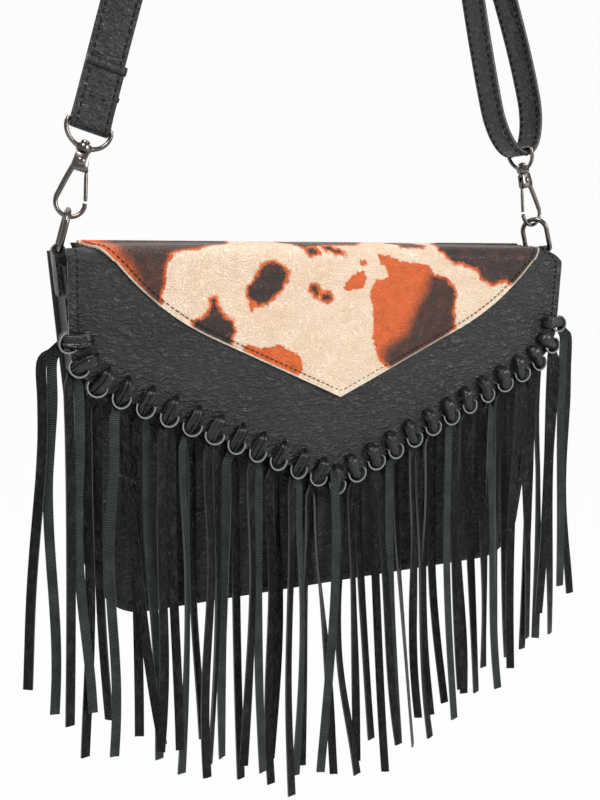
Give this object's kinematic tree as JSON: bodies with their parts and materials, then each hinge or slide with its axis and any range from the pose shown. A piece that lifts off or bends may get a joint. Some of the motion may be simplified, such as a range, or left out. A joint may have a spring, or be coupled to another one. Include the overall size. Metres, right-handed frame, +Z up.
{
  "type": "fringed crossbody flap bag",
  "caption": "Slim flap bag with a pointed printed flap, a knotted fringe along its edge and a shoulder strap on two swivel clasps.",
  "frame": {"origin": "where the underside of the strap bears on the hook or shoulder that carries the bag, in the middle of its bend", "axes": "+Z up along the hanging line, -Y out of the printed front, +X to the right as seen from the front"},
  "size_m": [0.3394, 0.0518, 0.7395],
  "materials": {
    "black_leather": "grained",
    "cow_print": "printed and grained",
    "lining_cloth": "plain weave",
    "gunmetal": "polished gunmetal",
    "steel": "satin"
  },
  "bodies": {
    "bag": {"back_panel": "black_leather", "front_panel": "black_leather", "gusset": "black_leather", "left_tab": "black_leather", "right_tab": "black_leather", "strap": "black_leather", "flap_top": "cow_print", "lining": "lining_cloth", "snap_socket": "steel", "left_eye": "gunmetal", "left_ring": "gunmetal", "right_eye": "gunmetal", "right_ring": "gunmetal", "strap_slider": "gunmetal"},
    "flap": {"flap_backing": "lining_cloth", "flap_band": "black_leather", "print_panel": "cow_print", "snap_stud": "steel", "fringe_01": "black_leather", "fringe_02": "black_leather", "fringe_03": "black_leather", "fringe_04": "black_leather", "fringe_05": "black_leather", "fringe_06": "black_leather", "fringe_07": "black_leather", "fringe_08": "black_leather", "fringe_09": "black_leather", "fringe_10": "black_leather", "fringe_11": "black_leather", "fringe_12": "black_leather", "fringe_13": "black_leather", "fringe_14": "black_leather", "fringe_15": "black_leather", "fringe_16": "black_leather", "fringe_17": "black_leather", "fringe_18": "black_leather", "fringe_19": "black_leather", "fringe_20": "black_leather", "fringe_21": "black_leather", "fringe_22": "black_leather", "fringe_23": "black_leather", "fringe_24": "black_leather", "fringe_25": "black_leather", "fringe_26": "black_leather", "fringe_27": "black_leather"},
    "left_hook": {"left_hook": "gunmetal", "left_gate_pin": "gunmetal"},
    "right_hook": {"right_hook": "gunmetal", "right_gate_pin": "gunmetal"},
    "left_gate": {"left_gate": "gunmetal"},
    "right_gate": {"right_gate": "gunmetal"}
  },
  "joints": [
    {"name": "flap_hinge", "type": "hinge", "parent": "bag", "child": "flap", "pos_m": [0, -0.02257, -0.43975], "axis": [-1, 0, 0], "range_deg": [0, 160]},
    {"name": "left_swivel", "type": "hinge", "parent": "bag", "child": "left_hook", "pos_m": [-0.13015, 0.00035, -0.38901], "axis": [0.2808, 0, 0.9598], "range_deg": [-45, 45]},
    {"name": "right_swivel", "type": "hinge", "parent": "bag", "child": "right_hook", "pos_m": [0.13015, 0.00035, -0.38901], "axis": [-0.2808, 0, 0.9598], "range_deg": [-15, 55]},
    {"name": "left_gate_hinge", "type": "hinge", "parent": "left_hook", "child": "left_gate", "pos_m": [-0.13133, 0.00035, -0.39305], "axis": [0.1336, 0.9903, -0.0391], "range_deg": [0, 25], "stiffness_Nm_per_rad": 0.02, "springref_deg": -11.46},
    {"name": "right_gate_hinge", "type": "hinge", "parent": "right_hook", "child": "right_gate", "pos_m": [0.13133, 0.00035, -0.39305], "axis": [0.1336, -0.9903, 0.0391], "range_deg": [0, 25], "stiffness_Nm_per_rad": 0.02, "springref_deg": -11.46}
  ]
}
